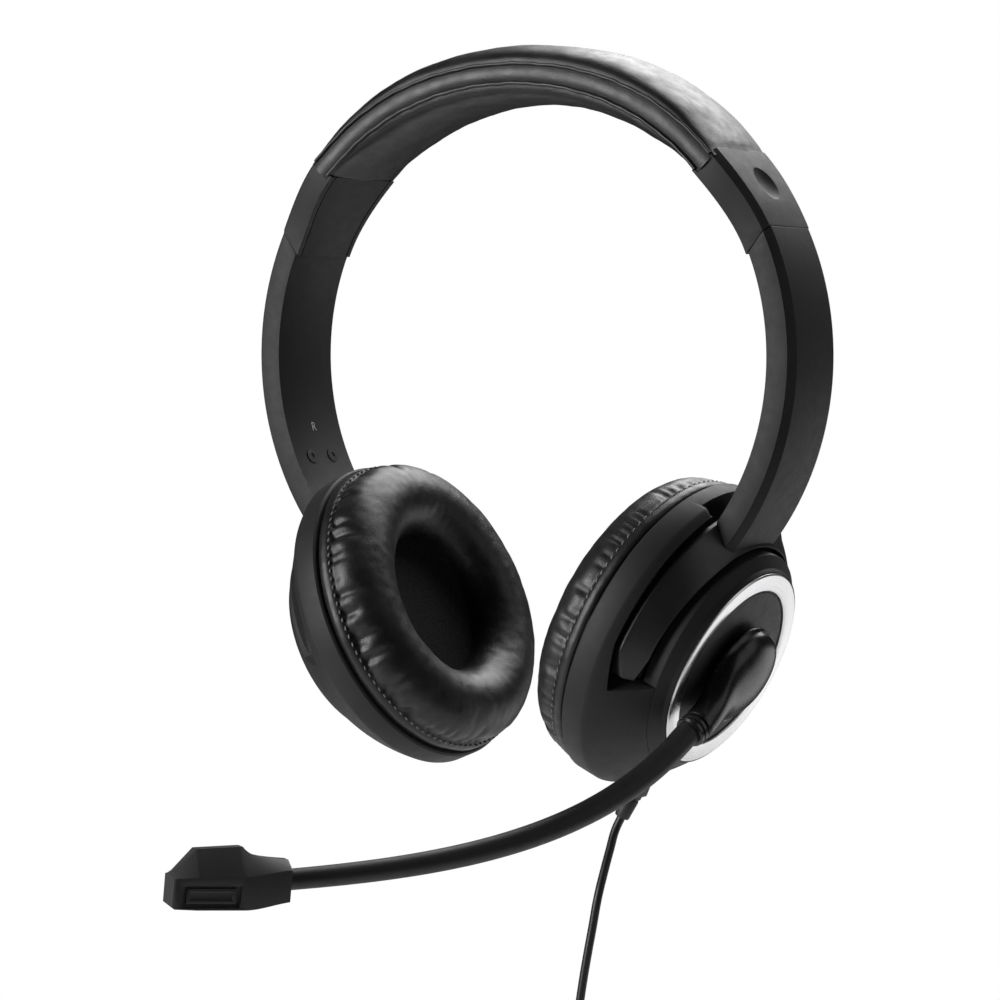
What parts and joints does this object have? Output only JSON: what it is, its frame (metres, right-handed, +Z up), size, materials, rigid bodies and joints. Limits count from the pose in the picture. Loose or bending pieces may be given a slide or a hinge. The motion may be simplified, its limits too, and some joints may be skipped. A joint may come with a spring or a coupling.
{
  "type": "office headset",
  "caption": "Black on-ear office headset: padded headband, sliding arms, tilting ear cups with leatherette cushions, boom microphone, audio cord with plug.",
  "frame": {"origin": "middle of the padded crown's underside, where the headset rests on the head", "axes": "+Z up, -Y towards the wearer's face, +X towards the wearer's left ear, where the boom and the cord are"},
  "size_m": [0.1598, 0.1902, 0.3339],
  "materials": {
    "leatherette": "soft semi-gloss, fine grain",
    "satin_plastic": "satin moulded plastic",
    "dark_plastic": "fine matt texture",
    "gloss_plastic": "semi-gloss",
    "brushed_ring": "turned and polished",
    "steel": "rolled strip",
    "cloth": "fine woven speaker cloth",
    "cord_jacket": "smooth soft jacket",
    "soft_rubber": "matt rubber",
    "plug_metal": "gold plated",
    "screw_steel": "blackened steel"
  },
  "bodies": {
    "headband": {"spring_band": "steel", "crown_base": "dark_plastic", "crown_pad_top": "leatherette", "crown_pad_under": "leatherette", "crown_piping": "leatherette", "band_rivets": "steel", "housing_outer_left": "satin_plastic", "housing_outer_right": "satin_plastic", "housing_inner_left": "dark_plastic", "housing_inner_right": "dark_plastic", "detent_left": "steel", "detent_right": "steel"},
    "arm_left": {"slider_strip_left": "steel", "arm_inner_left": "satin_plastic", "arm_outer_left": "satin_plastic", "yoke_left": "satin_plastic", "arm_screws_left": "screw_steel"},
    "arm_right": {"slider_strip_right": "steel", "arm_inner_right": "satin_plastic", "arm_outer_right": "satin_plastic", "yoke_right": "satin_plastic", "arm_screws_right": "screw_steel"},
    "cup_left": {"cup_housing_left": "satin_plastic", "cup_cap_left": "gloss_plastic", "cup_ring_left": "brushed_ring", "cup_disc_left": "dark_plastic", "cup_baffle_left": "dark_plastic", "driver_left": "dark_plastic", "driver_magnet_left": "steel", "ear_cloth_left": "cloth", "ear_cushion_left": "leatherette", "pivot_pins_left": "steel", "cup_screws_left": "screw_steel", "cord_gland": "soft_rubber", "strain_relief": "soft_rubber", "cord_run": "cord_jacket", "cord_coil": "cord_jacket", "coil_tie": "soft_rubber", "plug_boot": "soft_rubber", "plug_shell": "soft_rubber", "plug_pin": "plug_metal"},
    "cup_right": {"cup_housing_right": "satin_plastic", "cup_cap_right": "gloss_plastic", "cup_ring_right": "brushed_ring", "cup_disc_right": "dark_plastic", "cup_baffle_right": "dark_plastic", "driver_right": "dark_plastic", "driver_magnet_right": "steel", "ear_cloth_right": "cloth", "ear_cushion_right": "leatherette", "pivot_pins_right": "steel", "cup_screws_right": "screw_steel"},
    "boom": {"boom_axle": "dark_plastic", "boom_hub": "gloss_plastic", "boom_washer": "steel", "boom_collar": "gloss_plastic", "boom_tube": "soft_rubber", "mic_front": "dark_plastic", "mic_back": "dark_plastic", "mic_capsule": "steel"}
  },
  "joints": [
    {"name": "left_arm_slide", "type": "slide", "parent": "headband", "child": "arm_left", "axis": [0.5592, 0, -0.829], "range_m": [0, 0.015]},
    {"name": "right_arm_slide", "type": "slide", "parent": "headband", "child": "arm_right", "axis": [-0.5592, 0, -0.829], "range_m": [0, 0.015]},
    {"name": "left_cup_tilt", "type": "hinge", "parent": "arm_left", "child": "cup_left", "pos_m": [0.04709, 0.0025, -0.13672], "axis": [0, 1, 0], "range_deg": [-15, 5]},
    {"name": "right_cup_tilt", "type": "hinge", "parent": "arm_right", "child": "cup_right", "pos_m": [-0.04709, 0.0025, -0.13672], "axis": [0, -1, 0], "range_deg": [-15, 5]},
    {"name": "boom_swing", "type": "hinge", "parent": "cup_left", "child": "boom", "pos_m": [0.0577, 0.0025, -0.1414], "axis": [-0.915, 0, 0.4035], "range_deg": [-20, 90]}
  ]
}
